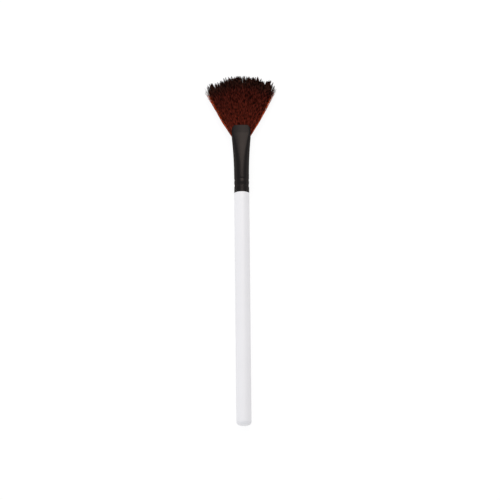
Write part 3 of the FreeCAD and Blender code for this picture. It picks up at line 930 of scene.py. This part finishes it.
        # The map has a band for each looseness, with the tone across it, so like hairs share it
        corner_rows, corner_sides = np.array(row_of_corner), np.array(side_of_corner)
        corner_rows = np.concatenate([corner_rows, [0] * sides, [last] * sides])
        corner_sides = np.concatenate([corner_sides, np.arange(sides), np.arange(sides)])
        band = np.round(hairs["looseness"] * (LOOSENESS_STEPS - 1))[:, None]
        spread = (corner_sides / sides - 0.5) * HAIR_MAP_WIDTH
        beside, ends = HAIR_MAP_MARGINS
        across = beside + (1 - 2 * beside) * tone[:, corner_rows] + spread[None, :]
        u = (band + across) / LOOSENESS_STEPS
        v = along[:, corner_rows] * (1 - 2 * ends) + ends
        quad_corners = len(row_of_corner)
        uv = np.stack([u, v], axis=-1)
        places = np.concatenate([
            uv[:, :quad_corners].reshape(-1, 2), uv[:, quad_corners:].reshape(-1, 2)])
        layer = mesh.uv_layers.new(name="OFBake", do_init=False)
        layer.uv.foreach_set("vector", places.astype(np.float32).ravel())

    def execute(self, context):
        fan = context.scene.fan_brush_fan
        random = np.random.default_rng(fan.seed)
        material = dyed_hair()
        tufts = self.tufts(fan, random)
        for name, level in (("hair_back", -1), ("hair_middle", 0), ("hair_front", 1)):
            self.build(fan, random, name, self.layer(fan, random, level, tufts), material)
        self.build(fan, random, "hair_strays", self.strays(fan, random), material)
        return {"FINISHED"}


# The studio: everything that isn't part of the brush. The camera stands far off, so the brush
# shows nearly without perspective, and the frame's origin, raised to the brush's axis, lies at
# AXIS_COLUMN and AXIS_ROW of the view.
FLOOR_HALF = 3.0
CAMERA_DISTANCE = 3.0
CAMERA_ELEVATION = math.radians(74.5)
CAMERA_ROLL = math.radians(0.576)
SENSOR = 36.0
PIXELS = 500
PIXELS_PER_METRE = 2013.3
AXIS_COLUMN = 242.28
AXIS_ROW = 249.35

# Strength of the even light from -X and from +X
WORLD_LIGHT = (1.10, 0.65)

# The softbox: direction from the brush, distance, width and height, watts and colour
SOFTBOX_DIRECTION = (0.10, 0.56, 0.82)
SOFTBOX_DISTANCE = 0.75
SOFTBOX_SIZE = (0.46, 0.44)
SOFTBOX_WATTS = 1.35
SOFTBOX_COLOUR = "#FFF3E9"


def background_rays(tree):
    """A factor that is 1 for what the camera, gloss and glass see."""
    rays = add_node(tree, "ShaderNodeLightPath")
    seen = rays.outputs["Is Camera Ray"]
    for name in ("Is Glossy Ray", "Is Transmission Ray"):
        seen = add_node(tree, "ShaderNodeMath", {
            0: seen, 1: rays.outputs[name]}, operation="MAXIMUM").outputs["Value"]
    return seen


def white_floor():
    """White paper sweep: it shows as white and still takes the brush's soft shadow."""
    material, tree = new_material("White paper sweep")
    # What lights the brush from below
    lit = add_node(tree, "ShaderNodeBsdfDiffuse", {"Color": linear("#DFDFDF")})
    # What is seen: most of the white is its own, and the rest shows the shadow
    shaded = add_node(tree, "ShaderNodeBsdfDiffuse", {"Color": linear("#6C6C6C")})
    glow = add_node(tree, "ShaderNodeEmission", {"Color": linear("#FFFFFF"), "Strength": 0.88})
    both = add_node(tree, "ShaderNodeAddShader")
    tree.links.new(shaded.outputs[0], both.inputs[0])
    tree.links.new(glow.outputs[0], both.inputs[1])
    choice = add_node(tree, "ShaderNodeMixShader", {"Fac": background_rays(tree)})
    tree.links.new(lit.outputs[0], choice.inputs[1])
    tree.links.new(both.outputs[0], choice.inputs[2])
    finish_surface(tree, choice)
    return material


def studio_world():
    """The sweep's low white wall in a dim room, and an even soft light, stronger from -X."""
    world = bpy.data.worlds.new("Studio")
    world.use_nodes = True
    tree = world.node_tree
    tree.nodes.clear()
    place = add_node(tree, "ShaderNodeTexCoord")
    split = add_node(tree, "ShaderNodeSeparateXYZ", {"Vector": place.outputs["Generated"]})
    room = colour_stops(
        add_node(tree, "ShaderNodeValToRGB", {"Fac": split.outputs["Z"]}),
        [(0.0, linear("#FFFFFF")), (0.05, linear("#FFFFFF")), (0.14, linear("#A6A6AA"))])
    seen = add_node(tree, "ShaderNodeBackground", {"Color": room.outputs["Color"]})
    level = add_node(tree, "ShaderNodeMapRange", {
        "Value": split.outputs["X"], "From Min": -1.0, "From Max": 1.0,
        "To Min": WORLD_LIGHT[0], "To Max": WORLD_LIGHT[1]})
    light = add_node(tree, "ShaderNodeBackground", {
        "Color": linear("#FAFBFF"), "Strength": level.outputs["Result"]})
    choice = add_node(tree, "ShaderNodeMixShader", {"Fac": background_rays(tree)})
    tree.links.new(light.outputs[0], choice.inputs[1])
    tree.links.new(seen.outputs[0], choice.inputs[2])
    add_node(tree, "ShaderNodeOutputWorld", {"Surface": choice.outputs[0]})
    return world


class FANBRUSH_OT_stage(Operator):
    """Set the floor, the soft lights and the camera"""

    bl_idname = "fan_brush.stage"
    bl_label = "Stage"

    def execute(self, context):
        scene = context.scene
        corners = [(-FLOOR_HALF, -FLOOR_HALF, 0), (FLOOR_HALF, -FLOOR_HALF, 0),
                   (FLOOR_HALF, FLOOR_HALF, 0), (-FLOOR_HALF, FLOOR_HALF, 0)]
        mesh = bpy.data.meshes.new("floor")
        mesh.from_pydata(corners, [], [(0, 1, 2, 3)])
        floor = bpy.data.objects.new("floor", mesh)
        scene.collection.objects.link(floor)
        mesh.materials.append(white_floor())
        scene.world = studio_world()

        middle = Vector((0, 0, AXIS_HEIGHT))
        light = bpy.data.lights.new("Overhead softbox", "AREA")
        light.shape = "RECTANGLE"
        light.size, light.size_y = SOFTBOX_SIZE
        light.energy = SOFTBOX_WATTS
        light.color = linear(SOFTBOX_COLOUR)[:3]
        lamp = bpy.data.objects.new("Overhead softbox", light)
        scene.collection.objects.link(lamp)
        away = Vector(SOFTBOX_DIRECTION).normalized()
        lamp.location = middle + away * SOFTBOX_DISTANCE
        lamp.rotation_mode = "QUATERNION"
        lamp.rotation_quaternion = away.to_track_quat("Z", "Y")

        back = Vector((0, -math.cos(CAMERA_ELEVATION), math.sin(CAMERA_ELEVATION)))
        level_up = Vector((0, math.sin(CAMERA_ELEVATION), math.cos(CAMERA_ELEVATION)))
        level_right = Vector((1, 0, 0))
        cosine, sine = math.cos(CAMERA_ROLL), math.sin(CAMERA_ROLL)
        right = level_right * cosine - level_up * sine
        up = level_up * cosine + level_right * sine
        aim = (middle + right * (PIXELS / 2 - AXIS_COLUMN) / PIXELS_PER_METRE
               + up * (AXIS_ROW - PIXELS / 2) / PIXELS_PER_METRE)
        view = bpy.data.cameras.new("camera")
        view.sensor_width = SENSOR
        view.lens = SENSOR * CAMERA_DISTANCE * PIXELS_PER_METRE / PIXELS
        view.clip_start, view.clip_end = 0.05, 20.0
        camera = bpy.data.objects.new("camera", view)
        scene.collection.objects.link(camera)
        camera.matrix_world = Matrix.Translation(aim + back * CAMERA_DISTANCE) @ Matrix(
            (right, up, back)).transposed().to_4x4()
        scene.camera = camera
        scene.view_settings.view_transform = "Standard"
        return {"FINISHED"}


class FANBRUSH_PT_panel(Panel):
    """The brush's pieces, sizes and colours"""

    bl_idname = "FANBRUSH_PT_panel"
    bl_label = "Fan Makeup Brush"
    bl_space_type = "VIEW_3D"
    bl_region_type = "UI"
    bl_category = "Fan Brush"

    def draw(self, context):
        for group_name in GROUPS:
            group = getattr(context.scene, group_name)
            box = self.layout.box()
            for name in group.__annotations__:
                box.prop(group, name)
        for operator in OPERATORS:
            self.layout.operator(operator.bl_idname)


OPERATORS = (
    FANBRUSH_OT_handle,
    FANBRUSH_OT_ferrule,
    FANBRUSH_OT_resin_plug,
    FANBRUSH_OT_fan,
    FANBRUSH_OT_stage,
)


def register():
    """Register the classes, and give the scene the brush's sizes and colours."""
    for group_name, group in GROUPS.items():
        bpy.utils.register_class(group)
        setattr(bpy.types.Scene, group_name, PointerProperty(type=group))
    for made in (*OPERATORS, FANBRUSH_PT_panel):
        bpy.utils.register_class(made)


def unregister():
    """Take back what register has added."""
    for made in (FANBRUSH_PT_panel, *reversed(OPERATORS)):
        bpy.utils.unregister_class(made)
    for group_name, group in reversed(GROUPS.items()):
        delattr(bpy.types.Scene, group_name)
        bpy.utils.unregister_class(group)


def main():
    """Build every piece and the stage."""
    register()
    bpy.ops.fan_brush.handle()
    bpy.ops.fan_brush.ferrule()
    bpy.ops.fan_brush.resin_plug()
    bpy.ops.fan_brush.fan()
    bpy.ops.fan_brush.stage()


if __name__ == "__main__":
    main()
